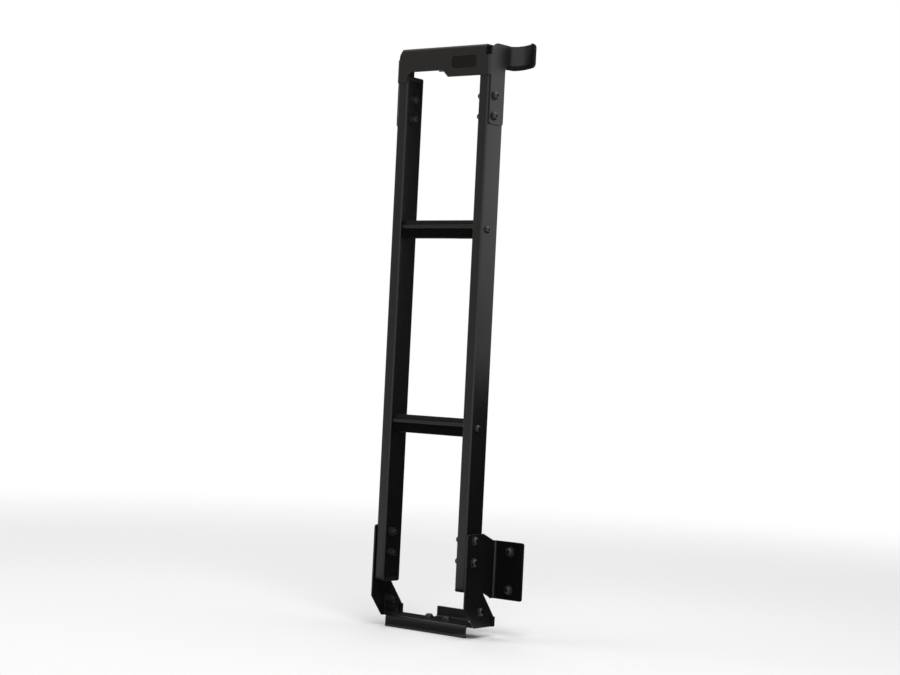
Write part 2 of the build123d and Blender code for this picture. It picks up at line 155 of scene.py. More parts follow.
class Board:
    """A node tree that is wired up with Python expressions."""

    def __init__(self, tree: bpy.types.NodeTree) -> None:
        """Keeps the tree and empties it."""
        self.tree = tree
        tree.nodes.clear()

    def node(
        self, kind: str, settings: Settings | None = None, inputs: Inputs | None = None
    ) -> bpy.types.Node:
        """Adds a node.

        Args:
            kind: the node's type name.
            settings: its properties, which are set before its sockets.
            inputs: a value, a wire or a list of wires for each socket, by the socket's name or index.

        Returns:
            The new node.
        """
        made = self.tree.nodes.new(kind)
        for name, value in (settings or {}).items():
            setattr(made, name, value)
        for key, value in (inputs or {}).items():
            self._feed(made.inputs[key], value)
        return made

    def _feed(self, target: bpy.types.NodeSocket, value: object) -> None:
        """Sets a socket's value or leads wires to it.

        Args:
            target: the socket.
            value: a value, a wire or a list of wires.
        """
        if isinstance(value, list):
            for wire in value:
                self._feed(target, wire)
        elif isinstance(value, Wire):
            self.tree.links.new(value.socket, target)
        else:
            target.default_value = value

    def out(self, made: bpy.types.Node, key: str | int = 0) -> Wire:
        """Wraps one of a node's outputs."""
        return Wire(self, made.outputs[key])

    def maths(self, operation: str, first: Operand, second: Operand) -> Wire:
        """Adds a Math node with two operands and wraps its result."""
        return self.out(self.node("ShaderNodeMath", {"operation": operation}, {0: first, 1: second}))


def new_material(name: str) -> tuple[bpy.types.Material, Board]:
    """Adds a material with no nodes in it yet.

    Args:
        name: the material's name.

    Returns:
        The material and the board for its nodes.
    """
    made = bpy.data.materials.new(name)
    made.use_nodes = True
    return made, Board(made.node_tree)


def grey(level: float) -> Colour:
    """A colour with the same level in all three channels."""
    return (level, level, level)


def show(thing: bpy.types.Object) -> None:
    """Links an object to the scene."""
    bpy.context.scene.collection.objects.link(thing)


@dataclass(frozen=True)
class Finish:
    """A surface with a fine grain and slow changes of gloss and tone."""

    FINE_RATIO: ClassVar[float] = 3.1
    FINE_SHARE: ClassVar[float] = 0.25
    GRAIN_GLOSS: ClassVar[float] = 0.6
    STREAK_SCALE: ClassVar[float] = 420.0
    STREAK_STRETCH: ClassVar[tuple[float, float, float]] = (1.0, 1.0, 0.02)

    name: str
    slot: Slot
    colour: Colour
    tone_change: float
    roughness: float
    gloss_change: float
    grain_size: float
    grain_depth: float
    patch_size: float = 0.09
    streak: float = 0.0
    specular: float = 0.5

    def material(self) -> bpy.types.Material:
        """Builds the node material.

        Returns:
            The material, made once for each finish.
        """
        found = bpy.data.materials.get(self.name)
        if found:
            return found
        made, board = new_material(self.name)
        place = board.out(board.node("ShaderNodeTexCoord"), "Object")
        grain = self._noise(board, place, 1 / self.grain_size, detail=2.0)
        fine = self._noise(board, place, self.FINE_RATIO / self.grain_size, detail=1.0)
        patch_offset = self._noise(board, place, 1 / self.patch_size, detail=3.0) - HALF
        grain_offset = grain - HALF
        tone = patch_offset * (2 * self.tone_change) + grain_offset * self.tone_change + HALF
        dark = tuple(level * (1 - self.tone_change) for level in self.colour)
        light = tuple(level * (1 + self.tone_change) for level in self.colour)
        tones = {MIX_FACTOR: tone, MIX_DARK: (*dark, 1.0), MIX_LIGHT: (*light, 1.0)}
        colour = board.node("ShaderNodeMix", {"data_type": "RGBA"}, tones)
        rough = self.roughness + patch_offset * self.gloss_change
        rough = rough + grain_offset * (self.GRAIN_GLOSS * self.gloss_change)
        if self.streak:
            rough = rough + (self._streaks(board, place) - HALF) * self.streak
        height = grain * (1 - self.FINE_SHARE) + fine * self.FINE_SHARE
        bump = board.node(
            "ShaderNodeBump", None, {"Strength": 1.0, "Distance": self.grain_depth, "Height": height}
        )
        shader = board.node(
            "ShaderNodeBsdfPrincipled",
            None,
            {
                "Base Color": board.out(colour, MIX_RESULT),
                "Roughness": rough,
                "Specular IOR Level": self.specular,
                "Normal": board.out(bump),
            },
        )
        board.node("ShaderNodeOutputMaterial", None, {"Surface": board.out(shader)})
        return made

    def _streaks(self, board: Board, place: Wire) -> Wire:
        """Adds the fine lines that the extruding die leaves along a rail and wraps their level.

        Args:
            board: the material's board.
            place: object coordinates.

        Returns:
            The level of the lines.
        """
        stretched = board.node("ShaderNodeMapping", None, {"Vector": place, "Scale": self.STREAK_STRETCH})
        return self._noise(board, board.out(stretched), self.STREAK_SCALE, detail=2.0)

    @staticmethod
    def _noise(board: Board, place: Wire, scale: float, detail: float) -> Wire:
        """Adds a noise pattern of a given scale and wraps its level."""
        inputs = {"Vector": place, "Scale": scale, "Detail": detail}
        return board.out(board.node("ShaderNodeTexNoise", None, inputs), "Fac")


BLACK_PAINT = (0.0045, 0.0044, 0.0043)
RAIL_COAT = Finish(
    "rail_powder_coat", Slot.RAIL, BLACK_PAINT, tone_change=0.12, roughness=0.32, gloss_change=0.08,
    grain_size=1.3 * MM, grain_depth=0.055 * MM, streak=0.05,
)
BRACKET_COAT = Finish(
    "bracket_powder_coat", Slot.BRACKET, BLACK_PAINT, tone_change=0.12, roughness=0.33, gloss_change=0.08,
    grain_size=1.2 * MM, grain_depth=0.055 * MM,
)
CAP_PLASTIC = Finish(
    "moulded_cap_plastic", Slot.CAP, grey(0.006), tone_change=0.08, roughness=0.5, gloss_change=0.1,
    grain_size=0.5 * MM, grain_depth=0.03 * MM,
)
PLATE_SATIN = Finish(
    "blank_plate_satin", Slot.PLATE, grey(0.004), tone_change=0.05, roughness=0.3, gloss_change=0.06,
    grain_size=0.4 * MM, grain_depth=0.004 * MM, specular=0.22,
)
RUBBER = Finish(
    "matt_rubber", Slot.RUBBER, grey(0.004), tone_change=0.12, roughness=0.7, gloss_change=0.1,
    grain_size=0.7 * MM, grain_depth=0.03 * MM, specular=0.14,
)
GRIP_RUBBER = Finish(
    "ribbed_grip_rubber", Slot.RUBBER, grey(0.0045), tone_change=0.12, roughness=0.6, gloss_change=0.12,
    grain_size=0.6 * MM, grain_depth=0.03 * MM, specular=0.2,
)
BOLT_BLACK = Finish(
    "black_bolt", Slot.BRACKET, (0.009, 0.009, 0.0093), tone_change=0.12, roughness=0.3, gloss_change=0.1,
    grain_size=0.35 * MM, grain_depth=0.004 * MM, specular=0.6,
)


def add_piece(name: str, mesh: bpy.types.Mesh, finish: Finish, node: str | None = None) -> None:
    """Puts a finished mesh into the scene as a piece of the ladder.

    Args:
        name: the piece's name.
        mesh: its mesh, in the part's frame.
        finish: its surface.
        node: the CAD node that it stands for, if any.
    """
    mesh.materials.clear()
    mesh.materials.append(finish.material())
    piece = bpy.data.objects.new(name, mesh)
    show(piece)
    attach(piece, BODY)
    if node:
        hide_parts(node)
    LOG.info("%s: %d faces", name, len(mesh.polygons))


def evaluated_mesh(worker: bpy.types.Object) -> bpy.types.Mesh:
    """Turns an object with live modifiers into a plain mesh.

    Args:
        worker: the object, which is in the scene.

    Returns:
        A mesh of its own.
    """
    depsgraph = bpy.context.evaluated_depsgraph_get()
    return bpy.data.meshes.new_from_object(
        worker.evaluated_get(depsgraph), preserve_all_data_layers=True, depsgraph=depsgraph
    )


def direction(edge: bmesh.types.BMEdge) -> Vector:
    """Unit vector along an edge."""
    return (edge.verts[1].co - edge.verts[0].co).normalized()


def connected(edges: Sequence[bmesh.types.BMEdge]) -> list[list[bmesh.types.BMEdge]]:
    """Groups edges that share corners.

    Args:
        edges: the edges to group.

    Returns:
        One list for each connected group.
    """
    remaining = set(edges)
    groups: list[list[bmesh.types.BMEdge]] = []
    while remaining:
        front = [remaining.pop()]
        group = list(front)
        while front:
            edge = front.pop()
            near = [e for vert in edge.verts for e in vert.link_edges if e in remaining]
            remaining.difference_update(near)
            front.extend(near)
            group.extend(near)
        groups.append(group)
    return groups


@dataclass
class RoundedCopy:
    """A copy of a CAD node whose sharp edges are rounded, as a coat of paint or a mould leaves them."""

    FLAT_ANGLE: ClassVar[float] = math.radians(0.2)
    ALIGNED: ClassVar[float] = 0.99
    CUT_LIFT: ClassVar[float] = 0.02 * MM
    CUT_REACH: ClassVar[float] = 0.0001 * MM

    node: str
    finish: Finish
    radius: float
    kind: EdgeKind = EdgeKind.ALL
    segments: int = 3
    sharp_angle: float = math.radians(32.0)
    rim_size: float = 22 * MM
    share: Share = Share.WHOLE
    cut: float = 0.0
    label: str = "finished"

    def build(self) -> None:
        """Makes the piece and has it stand for its node."""
        worker = bpy.data.objects.new(self.node + "_worker", self._merged())
        show(worker)
        if self.kind is not EdgeKind.NONE:
            rounding = worker.modifiers.new("rounding", "BEVEL")
            rounding.width = self.radius
            rounding.segments = self.segments
            rounding.limit_method = "WEIGHT"
            rounding.use_clamp_overlap = False
            rounding.harden_normals = True
        mesh = evaluated_mesh(worker)
        bpy.data.objects.remove(worker)
        add_piece(f"{self.node}_{self.label}", mesh, self.finish, self.node)

    def _merged(self) -> bpy.types.Mesh:
        """Copies the node's mesh, merges it, marks what is sharp and what is to be rounded.

        Returns:
            The marked copy.
        """
        work = bmesh.new()
        work.from_mesh(frame["nodes"][self.node].data)
        bmesh.ops.remove_doubles(work, verts=work.verts, dist=WELD)
        if self.share is not Share.WHOLE:
            self._keep_share(work)
        bmesh.ops.dissolve_limit(
            work, angle_limit=self.FLAT_ANGLE, verts=work.verts, edges=work.edges, delimit=set()
        )
        weight = work.edges.layers.float.new("bevel_weight_edge")
        shared = [edge for edge in work.edges if edge.is_manifold]
        sharp = [edge for edge in shared if edge.calc_face_angle() > self.sharp_angle]
        for edge in self._chosen(sharp):
            edge[weight] = 1.0
        for face in work.faces:
            face.smooth = True
        for edge in sharp:
            edge.smooth = False
        mesh = bpy.data.meshes.new(f"{self.node}_{self.label}")
        work.to_mesh(mesh)
        work.free()
        return mesh

    def _keep_share(self, work: bmesh.types.BMesh) -> None:
        """Cuts the mesh just over a height, keeps one share, closes it and settles it on the height itself.

        Args:
            work: the mesh, which has flat faces at that height.
        """
        above = self.share is Share.ABOVE
        level = self.cut + self.CUT_LIFT
        result = bmesh.ops.bisect_plane(
            work,
            geom=[*work.verts, *work.edges, *work.faces],
            dist=self.CUT_REACH,
            plane_co=UP * level,
            plane_no=UP,
            clear_inner=above,
            clear_outer=not above,
        )
        rim = [item for item in result["geom_cut"] if isinstance(item, bmesh.types.BMEdge)]
        bmesh.ops.edgeloop_fill(work, edges=rim)
        for vert in work.verts:
            if abs(vert.co.z - level) < self.CUT_LIFT / 2:
                vert.co.z = self.cut
        bmesh.ops.remove_doubles(work, verts=work.verts, dist=WELD)
        bmesh.ops.recalc_face_normals(work, faces=work.faces)

    def _chosen(self, sharp: Sequence[bmesh.types.BMEdge]) -> list[bmesh.types.BMEdge]:
        """Picks the edges to round: not the rims of bolt holes, and only those along x where asked.

        Args:
            sharp: the piece's sharp edges.

        Returns:
            The edges to round.
        """
        if self.kind is EdgeKind.NONE:
            return []
        if self.kind is EdgeKind.ALONG_X:
            return [edge for edge in sharp if abs(direction(edge).x) > self.ALIGNED]
        chosen: list[bmesh.types.BMEdge] = []
        for loop in connected(sharp):
            corners = [vert.co for edge in loop for vert in edge.verts]
            extent = max(max(c[axis] for c in corners) - min(c[axis] for c in corners) for axis in range(3))
            if extent > self.rim_size:
                chosen.extend(loop)
        return chosen


@dataclass
class Plan:
    """Planes and heights of the ladder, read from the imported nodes."""

    left_outer: float = field(init=False)
    left_inner: float = field(init=False)
    right_inner: float = field(init=False)
    right_outer: float = field(init=False)
    rear: float = field(init=False)
    tube_base: float = field(init=False)
    tube_top: float = field(init=False)
    ground: float = field(init=False)
    sheet: float = field(init=False)

    def __post_init__(self) -> None:
        """Measures the rails and a foot."""
        left_low, left_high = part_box("left_rail")
        right_low, right_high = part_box("right_rail")
        foot_low, foot_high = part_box("left_foot")
        self.left_outer, self.left_inner = left_low.x, left_high.x
        self.right_inner, self.right_outer = right_low.x, right_high.x
        self.rear = left_low.y
        self.tube_base, self.tube_top = left_low.z, left_high.z
        self.ground = foot_low.z
        self.sheet = foot_high.x - foot_low.x

    @property
    def middle(self) -> float:
        """Place of the ladder's middle plane along x."""
        return (self.left_outer + self.right_outer) / 2


@dataclass(frozen=True)
class Seat:
    """A place where a bolt head or a nut sits, and the way it faces."""

    place: Vector
    facing: Vector


class FastenerTree:
    """Geometry Nodes tree that sets one kind of fastener, on its washer, on every point that it is given."""

    SEED = 11
    SIDES = 36
    SHARP_ANGLE = math.radians(34)

    def __init__(self, name: str, sizes: dict[str, float], finish: Finish) -> None:
        """Starts the tree with named inputs for its sizes.

        Args:
            name: the tree's name.
            sizes: default of each named input, in metres.
            finish: the fastener's surface.
        """
        self.tree = bpy.data.node_groups.new(name, "GeometryNodeTree")
        self.board = Board(self.tree)
        self.finish = finish
        ports = self.tree.interface
        ports.new_socket("Points", in_out="INPUT", socket_type="NodeSocketGeometry")
        for label, size in sizes.items():
            port = ports.new_socket(label, in_out="INPUT", socket_type="NodeSocketFloat")
            port.default_value = size
        ports.new_socket("Fasteners", in_out="OUTPUT", socket_type="NodeSocketGeometry")
        self.entry = self.board.node("NodeGroupInput")

    def size(self, label: str) -> Wire:
        """One of the named sizes as a wire."""
        return self.board.out(self.entry, label)

    def disc(self, radius: Operand, height: Operand, sides: int, up: bool) -> Wire:
        """Adds a flat round or many-sided face.

        Args:
            radius: distance of its corners from the axis.
            height: its height over the seat.
            sides: number of sides.
            up: whether it faces up, not down.

        Returns:
            The face.
        """
        outline = {"Vertices": sides, "Radius": radius}
        face = self.board.out(self.board.node("GeometryNodeMeshCircle", {"fill_type": "NGON"}, outline))
        return self.raised(face if up else self.flipped(face), height)

    def flipped(self, geometry: Wire) -> Wire:
        """The same faces, turned over."""
        return self.board.out(self.board.node("GeometryNodeFlipFaces", None, {0: geometry}))

    def raised(self, geometry: Wire, height: Operand) -> Wire:
        """Moves geometry up.

        Args:
            geometry: what is moved.
            height: how far it moves.

        Returns:
            The moved geometry.
        """
        offset = self.board.node("ShaderNodeCombineXYZ", None, {"Z": height})
        move = {"Geometry": geometry, "Translation": self.board.out(offset)}
        return self.board.out(self.board.node("GeometryNodeTransform", None, move))

    def joined(self, parts: list[Wire]) -> Wire:
        """Joins several geometries and welds their seams.

        Args:
            parts: the geometries.

        Returns:
            One geometry.
        """
        join = self.board.node("GeometryNodeJoinGeometry", None, {0: parts})
        weld = {"Geometry": self.board.out(join), "Distance": WELD}
        return self.board.out(self.board.node("GeometryNodeMergeByDistance", None, weld))

    def turned(self, profile: Profile, sides: int) -> list[Wire]:
        """Adds the walls of a turned or many-sided body.

        Args:
            profile: radius and height of each ring, from the bottom up.
            sides: number of sides.

        Returns:
            One frustum for each step of the profile.
        """
        walls: list[Wire] = []
        for (low_radius, low), (high_radius, high) in zip(profile, profile[1:]):
            radii = {"Radius Top": high_radius, "Radius Bottom": low_radius}
            cone = self.board.node(
                "GeometryNodeMeshCone",
                {"fill_type": "NONE"},
                {"Vertices": sides, **radii, "Depth": high - low},
            )
            walls.append(self.raised(self.board.out(cone), low))
        return walls

    def closed(self, profile: Profile, sides: int) -> list[Wire]:
        """Adds a turned body with its two ends closed.

        Args:
            profile: radius and height of each ring, from the bottom up.
            sides: number of sides.

        Returns:
            Its walls and its two ends.
        """
        (low_radius, low), (high_radius, high) = profile[0], profile[-1]
        ends = [self.disc(low_radius, low, sides, up=False), self.disc(high_radius, high, sides, up=True)]
        return self.turned(profile, sides) + ends

    def washer(self, chamfer: Wire) -> list[Wire]:
        """Adds the flat washer that the fastener sits on.

        Args:
            chamfer: width of the chamfer on its edges.

        Returns:
            The washer's walls and ends.
        """
        radius = self.size("Washer Diameter") * HALF
        top = self.size("Washer Thickness")
        inner = radius - chamfer
        rings = [(inner, 0.0), (radius, chamfer), (radius, top - chamfer), (inner, top)]
        return self.closed(rings, self.SIDES)

    def finish_tree(self, fastener: Wire) -> None:
        """Sets the fastener on the points, faces it the right way and ends the tree.

        Args:
            fastener: the fastener's geometry, standing on the plane z = 0.
        """
        board = self.board
        facing = board.node(
            "GeometryNodeInputNamedAttribute", {"data_type": "FLOAT_VECTOR"}, {"Name": "facing"}
        )
        aligned = board.node(
            "FunctionNodeAlignRotationToVector", {"axis": "Z"}, {"Vector": board.out(facing, "Attribute")}
        )
        span = {RANDOM_LOW: 0.0, RANDOM_HIGH: math.tau, "Seed": self.SEED}
        roll = board.node("FunctionNodeRandomValue", {"data_type": "FLOAT"}, span)
        spin = board.node(
            "FunctionNodeAxisAngleToRotation", None, {"Axis": UP, "Angle": board.out(roll, RANDOM_RESULT)}
        )
        turned = board.node(
            "FunctionNodeRotateRotation",
            {"rotation_space": "LOCAL"},
            {"Rotation": board.out(aligned), "Rotate By": board.out(spin)},
        )
        points = board.out(self.entry, "Points")
        placed = board.node(
            "GeometryNodeInstanceOnPoints",
            None,
            {"Points": points, "Instance": fastener, "Rotation": board.out(turned)},
        )
        real = board.node("GeometryNodeRealizeInstances", None, {"Geometry": board.out(placed)})
        smooth = board.node("GeometryNodeSetShadeSmooth", None, {"Geometry": board.out(real)})
        surface = {"Geometry": board.out(smooth), "Material": self.finish.material()}
        dressed = board.node("GeometryNodeSetMaterial", None, surface)
        board.node("NodeGroupOutput", None, {0: board.out(dressed)})

    def set_on(self, name: str, seats: Sequence[Seat], sizes: dict[str, float] | None = None) -> None:
        """Makes one piece of fasteners.

        Args:
            name: the piece's name.
            seats: where each fastener sits.
            sizes: named sizes that differ from the defaults.
        """
        points = bpy.data.meshes.new(name + "_points")
        points.from_pydata([seat.place for seat in seats], [], [])
        facing = points.attributes.new("facing", "FLOAT_VECTOR", "POINT")
        for index, seat in enumerate(seats):
            facing.data[index].vector = seat.facing
        worker = bpy.data.objects.new(name + "_worker", points)
        modifier = worker.modifiers.new("fasteners", "NODES")
        modifier.node_group = self.tree
        for label, size in (sizes or {}).items():
            modifier[self.tree.interface.items_tree[label].identifier] = size
        show(worker)
        mesh = evaluated_mesh(worker)
        bpy.data.objects.remove(worker)
        mesh.set_sharp_from_angle(angle=self.SHARP_ANGLE)
        add_piece(name, mesh, self.finish)


class ButtonBolt(FastenerTree):
    """Button-head bolt with a six-sided socket, on a plain washer."""

    SIDES = 40
    # Radius and height of each ring of the head, as shares of its own.
    DOME = ((1.0, 0.0), (1.0, 0.2), (0.975, 0.36), (0.92, 0.55), (0.83, 0.74), (0.72, 0.9), (0.62, 1.0))

    def __init__(self) -> None:
        """Builds the tree for an 8 mm bolt."""
        super().__init__(
            "button_bolt",
            {
                "Head Diameter": 14 * MM,
                "Head Height": 4.4 * MM,
                "Socket Width": 5 * MM,
                "Socket Depth": 2.8 * MM,
                "Washer Diameter": 17 * MM,
                "Washer Thickness": 1.6 * MM,
                "Washer Chamfer": 0.3 * MM,
            },
            BOLT_BLACK,
        )
        base = self.size("Washer Thickness")
        head = [self.raised(part, base) for part in self._head()]
        self.finish_tree(self.joined(self.washer(self.size("Washer Chamfer")) + head))

    def _head(self) -> list[Wire]:
        """Adds the domed head with its socket.

        Returns:
            The head's faces, standing on the plane z = 0.
        """
        board = self.board
        radius = self.size("Head Diameter") * HALF
        top = self.size("Head Height")
        corner = self.size("Socket Width") * CORNER_PER_WIDTH
        bottom = top - self.size("Socket Depth")
        dome = self.turned([(radius * r, top * z) for r, z in self.DOME], self.SIDES)
        rim_size = {0: self.SIDES, "Radius": radius * self.DOME[-1][0]}
        rim = board.node("GeometryNodeCurvePrimitiveCircle", None, rim_size)
        hexagon = board.node("GeometryNodeCurvePrimitiveCircle", None, {0: HEXAGON, "Radius": corner})
        outline = board.node("GeometryNodeJoinGeometry", None, {0: [board.out(rim), board.out(hexagon)]})
        flat = board.node("GeometryNodeFillCurve", None, {0: board.out(outline)})
        walls = self.flipped(self.turned([(corner, bottom), (corner, top)], HEXAGON)[0])
        floor = self.disc(corner, bottom, HEXAGON, up=True)
        under = self.disc(radius, 0.0, self.SIDES, up=False)
        return dome + [self.raised(board.out(flat), top), walls, floor, under]


class LockNut(FastenerTree):
    """Six-sided lock nut with a collar, on a washer, with the bolt's end standing out of it."""

    # Height of an edge per chamfer, collar radius per width, and the slope on the collar per chamfer.
    EDGE_SHARE = 0.6
    COLLAR_SHARE = 0.44
    COLLAR_SLOPE = 1.6

    def __init__(self) -> None:
        """Builds the tree for an 8 mm nut."""
        super().__init__(
            "lock_nut",
            {
                "Width": 13 * MM,
                "Body Height": 5.6 * MM,
                "Collar Height": 2.2 * MM,
                "Thread Diameter": 8 * MM,
                "Thread Length": 2 * MM,
                "Washer Diameter": 16 * MM,
                "Washer Thickness": 1.6 * MM,
                "Chamfer": 0.5 * MM,
            },
            BOLT_BLACK,
        )
        base = self.size("Washer Thickness")
        body_top = base + self.size("Body Height")
        collar_top = body_top + self.size("Collar Height")
        thread_top = collar_top + self.size("Thread Length")
        chamfer = self.size("Chamfer")
        edge = chamfer * self.EDGE_SHARE
        corner = self.size("Width") * CORNER_PER_WIDTH
        collar = self.size("Width") * self.COLLAR_SHARE
        slope = chamfer * self.COLLAR_SLOPE
        thread = self.size("Thread Diameter") * HALF
        block = [
            (corner - chamfer, base),
            (corner, base + edge),
            (corner, body_top - edge),
            (corner - chamfer, body_top),
        ]
        ring = [(collar, body_top), (collar, collar_top - chamfer), (collar - slope, collar_top)]
        stud = [(thread, collar_top), (thread, thread_top - chamfer), (thread - chamfer, thread_top)]
        parts = self.washer(edge) + self.closed(block, HEXAGON)
        parts += self.closed(ring, self.SIDES) + self.closed(stud, self.SIDES)
        self.finish_tree(self.joined(parts))


@dataclass
class Rails:
    """The two hollow rails with their end caps."""

    cap_round: float = 0.7 * MM

    def build(self) -> None:
        """Dresses the rails and the four caps."""
        for side in RAIL_SIDES:
            RoundedCopy(f"{side}_rail", RAIL_COAT, 0.0, EdgeKind.NONE).build()
            for end in ("top", "bottom"):
                RoundedCopy(f"{side}_rail_{end}_cap", CAP_PLASTIC, self.cap_round).build()


@dataclass
class Rungs:
    """The two extruded rungs with the ribbed rubber grips on their treads."""

    edge_round: float = 0.35 * MM
    grip_height: float = 7.5 * MM

    def build(self) -> None:
        """Dresses both rungs, rounding the edges that the die leaves along them, and their grips."""
        for level in RUNG_LEVELS:
            node = f"{level}_rung"
            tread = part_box(node)[1].z - self.grip_height
            shape = (self.edge_round, EdgeKind.ALONG_X)
            RoundedCopy(node, RAIL_COAT, *shape, share=Share.BELOW, cut=tread).build()
            RoundedCopy(node, GRIP_RUBBER, *shape, share=Share.ABOVE, cut=tread, label="grip").build()


@dataclass
class TopBracket:
    """The folded top bracket with its pads and the blank plate in its slot."""

    sheet_round: float = 0.5 * MM
    pad_round: float = 0.6 * MM
    plate_round: float = 0.25 * MM

    def build(self) -> None:
        """Dresses the bracket, its two pads and the plate."""
        RoundedCopy("top_bracket", BRACKET_COAT, self.sheet_round).build()
        RoundedCopy("name_plate", PLATE_SATIN, self.plate_round).build()
        for pad in ("hook_pad", "arm_pad"):
            RoundedCopy(pad, RUBBER, self.pad_round).build()


@dataclass
class LowerWork:
    """The hinge bracket, the feet with their trims, the bottom plate and the clamp hook."""

    sheet_round: float = 0.5 * MM
    trim_round: float = 0.6 * MM

    def build(self) -> None:
        """Dresses every folded piece at the ladder's lower end."""
        for node in ("hinge_bracket", "left_foot", "right_foot", "bottom_plate", "clamp_hook"):
            RoundedCopy(node, BRACKET_COAT, self.sheet_round).build()
        for side in RAIL_SIDES:
            RoundedCopy(f"{side}_foot_trim", RUBBER, self.trim_round, rim_size=0.0).build()


@dataclass
class Fasteners:
    """Every bolt, washer and nut, set out from the planes of the ladder."""

    plan: Plan
    setback: float = 17 * MM
    upper_drops: tuple[float, float] = (32 * MM, 67 * MM)
    lower_rises: tuple[float, float] = (43 * MM, 80 * MM)
    toe_setback: float = 42 * MM
    toe_height: float = 28 * MM
    clamp_setback: float = 62 * MM
    clamp_spacing: float = 40 * MM
    base_sheet: float = 3 * MM
    rung_bolt: dict[str, float] = field(
        default_factory=lambda: {
            "Head Diameter": 12.5 * MM,
            "Head Height": 3.6 * MM,
            "Socket Width": 4 * MM,
            "Socket Depth": 2.3 * MM,
            "Washer Diameter": 13.5 * MM,
            "Washer Thickness": 1 * MM,
        }
    )
    hinge_bolt: dict[str, float] = field(
        default_factory=lambda: {
            "Washer Diameter": 18 * MM,
            "Washer Thickness": 2 * MM,
            "Washer Chamfer": 0.4 * MM,
        }
    )

    def build(self) -> None:
        """Sets the bolts and nuts of each joint."""
        bolt = ButtonBolt()
        nut = LockNut()
        plan = self.plan
        upper = [plan.tube_top - drop for drop in self.upper_drops]
        lower = [plan.tube_base + rise for rise in self.lower_rises]
        left_face = plan.left_outer - plan.sheet
        right_foot_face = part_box("right_foot")[1].x
        bolt.set_on("upper_bolts", self._pair(upper, left_face, plan.right_outer + plan.sheet))
        bolt.set_on("lower_bolts", self._pair(lower, left_face, right_foot_face))
        nut.set_on("upper_nuts", self._pair(upper, plan.left_inner, plan.right_inner, outwards=False))
        nut.set_on("lower_nuts", self._pair(lower, plan.left_inner, plan.right_inner, outwards=False))
        rung_seats = self._pair(self._rung_axes(), plan.left_outer, plan.right_outer)
        bolt.set_on("rung_bolts", rung_seats, self.rung_bolt)
        self._toes(bolt, nut, left_face, right_foot_face)
        self._hinge(bolt)
        self._clamp(bolt, nut)

    def _pair(
        self,
        heights: Sequence[float],
        left: float,
        right: float,
        outwards: bool = True,
        setback: float | None = None,
    ) -> list[Seat]:
        """Seats on two faces across the ladder, at each height.

        Args:
            heights: where the bolts cross the ladder.
            left: place of the left face along x.
            right: place of the right face along x.
            outwards: whether the faces look away from the ladder's middle.
            setback: distance from the rails' rear faces, where it isn't the rails' own.

        Returns:
            The seats.
        """
        y = self.plan.rear + (self.setback if setback is None else setback)
        way = 1.0 if outwards else -1.0
        faces = ((left, -way), (right, way))
        return [Seat(Vector((x, y, z)), ALONG * sign) for z in heights for x, sign in faces]

    def _rung_axes(self) -> list[float]:
        """Height of each rung's screw port, which is at the middle of the rung's section."""
        boxes = [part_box(f"{level}_rung") for level in RUNG_LEVELS]
        return [(low.z + high.z) / 2 for low, high in boxes]

    def _toes(self, bolt: ButtonBolt, nut: LockNut, left_face: float, right_face: float) -> None:
        """Sets the bolts through the toes and the bottom plate's ears.

        Args:
            bolt: the bolts' tree.
            nut: the nuts' tree.
            left_face: place of the left foot's outer face along x.
            right_face: place of the right foot's outer face along x.
        """
        heights = [self.plan.ground + self.toe_height]
        ear_low, ear_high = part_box("bottom_plate")
        ears = (ear_low.x + self.base_sheet, ear_high.x - self.base_sheet)
        bolt.set_on("toe_bolts", self._pair(heights, left_face, right_face, setback=self.toe_setback))
        nut.set_on("toe_nuts", self._pair(heights, *ears, outwards=False, setback=self.toe_setback))

    def _hinge(self, bolt: ButtonBolt) -> None:
        """Sets the two bolts on the hinge bracket's rear face, from the record's bolt pattern.

        Args:
            bolt: the bolts' tree.
        """
        pattern = next(mount for mount in frame["record"]["mounts"] if mount["name"] == "hinge_bolts")
        half = pattern["dims"]["spacing_y_mm"] * MM / 2
        x, y, z = pattern["pos_m"]
        backwards = Vector((0.0, -1.0, 0.0))
        seats = [Seat(Vector((x, y - self.plan.sheet, z + side * half)), backwards) for side in (-1, 1)]
        bolt.set_on("hinge_bolts", seats, self.hinge_bolt)

    def _clamp(self, bolt: ButtonBolt, nut: LockNut) -> None:
        """Sets the two bolts that hold the clamp hook under the bottom plate.

        Args:
            bolt: the bolts' tree.
            nut: the nuts' tree.
        """
        y = self.plan.rear + self.clamp_setback
        above = self.plan.ground + self.base_sheet
        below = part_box("clamp_hook")[0].z
        places = [self.plan.middle + side * self.clamp_spacing / 2 for side in (-1, 1)]
        bolt.set_on("clamp_bolts", [Seat(Vector((x, y, above)), UP) for x in places])
        nut.set_on("clamp_nuts", [Seat(Vector((x, y, below)), -UP) for x in places])


@dataclass(frozen=True)
class Lamp:
    """A square soft lamp that looks at the ladder."""

    name: str
    offset: Vector
    size: float
    power: float
    reflected: bool = False

    def build(self, target: Vector) -> None:
        """Hangs the lamp.

        Args:
            target: the point that it looks at, from which its own place is measured.
        """
        light = bpy.data.lights.new(self.name, "AREA")
        light.size = self.size
        light.energy = self.power
        holder = bpy.data.objects.new(self.name, light)
        holder.location = target + self.offset
        holder.rotation_euler = (-self.offset).to_track_quat("-Z", "Y").to_euler()
        holder.visible_camera = False
        holder.visible_glossy = self.reflected
        show(holder)


LAMPS = (
    Lamp("key", Vector((1.5, -1.5, 2.6)), size=1.6, power=58.0),
    Lamp("side_fill", Vector((-2.2, -1.8, 1.4)), size=1.8, power=22.0),
    Lamp("overhead", Vector((0.2, 0.3, 2.8)), size=2.2, power=46.0, reflected=True),
    Lamp("back_fill", Vector((-1.9, 2.3, 1.7)), size=1.8, power=18.0),
)


